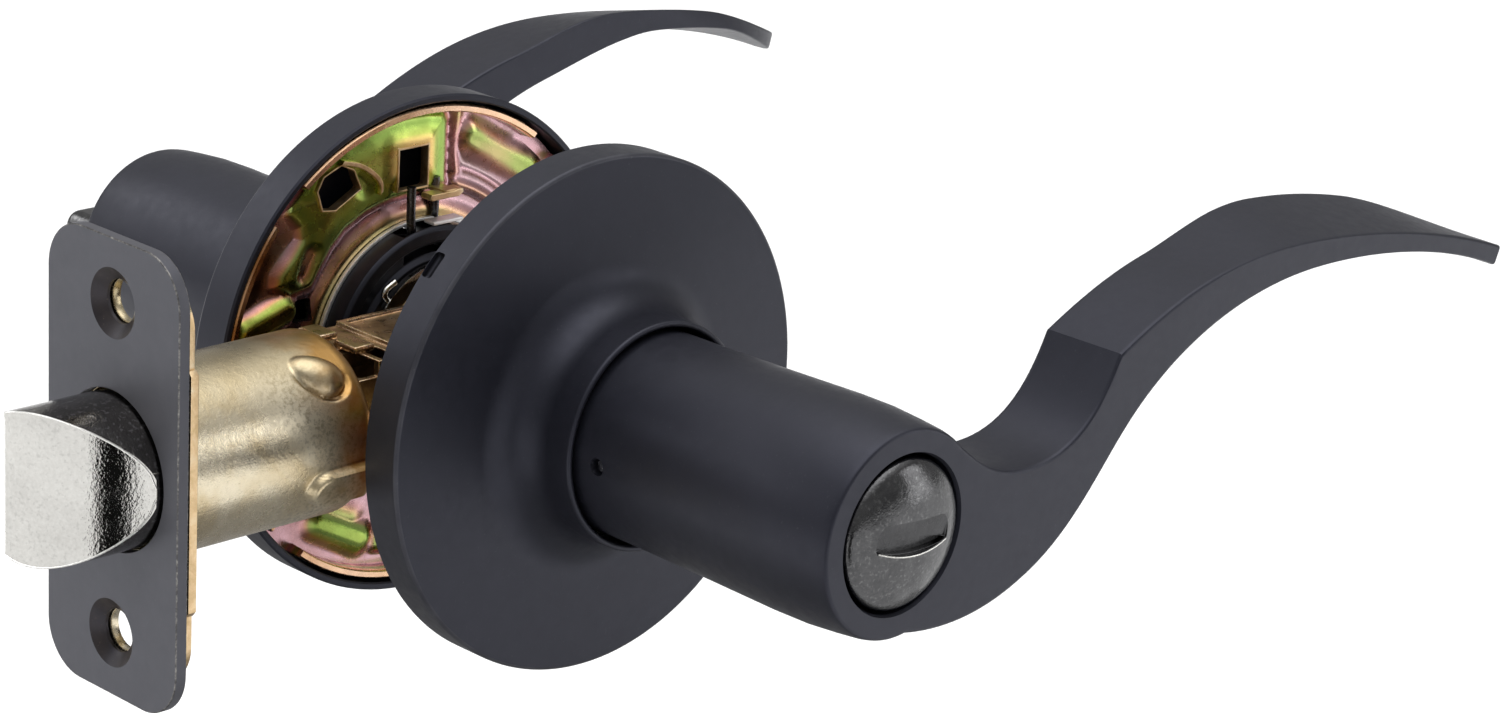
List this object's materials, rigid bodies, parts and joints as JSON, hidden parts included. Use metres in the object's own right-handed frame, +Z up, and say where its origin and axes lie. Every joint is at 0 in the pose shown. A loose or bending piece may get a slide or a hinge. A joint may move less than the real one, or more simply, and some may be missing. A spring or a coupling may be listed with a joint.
{
  "type": "door lever handle",
  "caption": "Tubular privacy door lever set: two wave levers on round roses with a coin-slot release, a turn button and a spring latch.",
  "frame": {"origin": "where the lever spindle crosses the latch axis, in the middle of the door thickness", "axes": "+Y along the spindle from the outside trim to the inside trim, +X from the faceplate along the latch towards the lever tips, +Z up"},
  "size_m": [0.1909, 0.1572, 0.067],
  "materials": {
    "matte_black": "satin matte black powder coat on zinc and steel",
    "yellow_zinc": "yellow chromate zinc plating with green and pink iridescence",
    "bronze_zinc": "bronze chromate zinc plating",
    "black_steel": "black oxide steel",
    "spring_steel": "oil-tempered spring wire",
    "nickel": "fine-grained nickel plating",
    "dark_pewter": "dark polished pewter"
  },
  "bodies": {
    "lock_chassis": {"outside_rose": "matte_black", "outside_mount_plate": "yellow_zinc", "outside_spring_cage": "black_steel", "outside_return_spring": "spring_steel", "outside_bushing": "black_steel", "inside_rose": "matte_black", "inside_mount_plate": "yellow_zinc", "inside_spring_cage": "black_steel", "inside_return_spring": "spring_steel", "inside_bushing": "black_steel", "left_mounting_post": "bronze_zinc", "right_mounting_post": "bronze_zinc", "left_mounting_screw": "yellow_zinc", "right_mounting_screw": "yellow_zinc", "faceplate": "matte_black", "backplate": "yellow_zinc", "latch_tube": "yellow_zinc", "latch_case": "bronze_zinc"},
    "outside_lever_assembly": {"outside_lever": "matte_black", "outside_sleeve": "bronze_zinc", "outside_spring_arm": "nickel", "outside_retaining_ring": "nickel"},
    "inside_lever_assembly": {"inside_lever": "matte_black", "inside_sleeve": "bronze_zinc", "inside_spring_arm": "nickel", "inside_retaining_ring": "nickel"},
    "outside_catch": {"outside_lever_catch": "nickel"},
    "inside_catch": {"inside_lever_catch": "nickel"},
    "cam_assembly": {"spindle_cam": "bronze_zinc", "drive_spindle": "bronze_zinc"},
    "bolt_assembly": {"latch_bolt": "nickel", "bolt_tail": "bronze_zinc", "bolt_spring": "spring_steel"},
    "lock_spindle": {"inside_turn_button": "dark_pewter", "lock_rod": "nickel", "release_button": "dark_pewter"},
    "dog": {"locking_dog": "nickel"}
  },
  "joints": [
    {"name": "outside_lever_turn", "type": "hinge", "parent": "lock_chassis", "child": "outside_lever_assembly", "pos_m": [0, -0.045, 0], "axis": [0, 1, 0], "range_deg": [0, 45], "stiffness_Nm_per_rad": 0.55, "springref_deg": -22.92},
    {"name": "inside_lever_turn", "type": "hinge", "parent": "lock_chassis", "child": "inside_lever_assembly", "pos_m": [0, 0.045, 0], "axis": [0, 1, 0], "range_deg": [0, 45], "stiffness_Nm_per_rad": 0.55, "springref_deg": -22.92},
    {"name": "cam_turn", "type": "hinge", "parent": "lock_chassis", "child": "cam_assembly", "pos_m": [0, 0, 0], "axis": [0, 1, 0], "range_deg": [0, 45]},
    {"name": "bolt_slide", "type": "slide", "parent": "lock_chassis", "child": "bolt_assembly", "axis": [1, 0, 0], "range_m": [0, 0.0127], "stiffness_N_per_m": 250, "springref_m": -0.006, "deforming": ["bolt_spring"]},
    {"name": "lock_turn", "type": "hinge", "parent": "inside_lever_assembly", "child": "lock_spindle", "pos_m": [0, 0.045, 0], "axis": [0, 1, 0], "range_deg": [0, 90]},
    {"name": "dog_slide", "type": "slide", "parent": "outside_lever_assembly", "child": "dog", "axis": [1, 0, 0], "range_m": [0, 0.0012]},
    {"name": "outside_catch_press", "type": "slide", "parent": "outside_lever_assembly", "child": "outside_catch", "axis": [1, 0, 0], "range_m": [0, 0.0012], "stiffness_N_per_m": 400, "springref_m": -0.003},
    {"name": "inside_catch_press", "type": "slide", "parent": "inside_lever_assembly", "child": "inside_catch", "axis": [1, 0, 0], "range_m": [0, 0.0012], "stiffness_N_per_m": 400, "springref_m": -0.003}
  ],
  "couplings": [
    {"joint": "inside_lever_turn", "follows": "outside_lever_turn", "ratio": 1},
    {"joint": "cam_turn", "follows": "outside_lever_turn", "ratio": 1},
    {"joint": "bolt_slide", "follows": "outside_lever_turn", "m_per_rad": 0.01617},
    {"joint": "dog_slide", "follows": "lock_turn", "m_per_rad": 0.0007634}
  ]
}
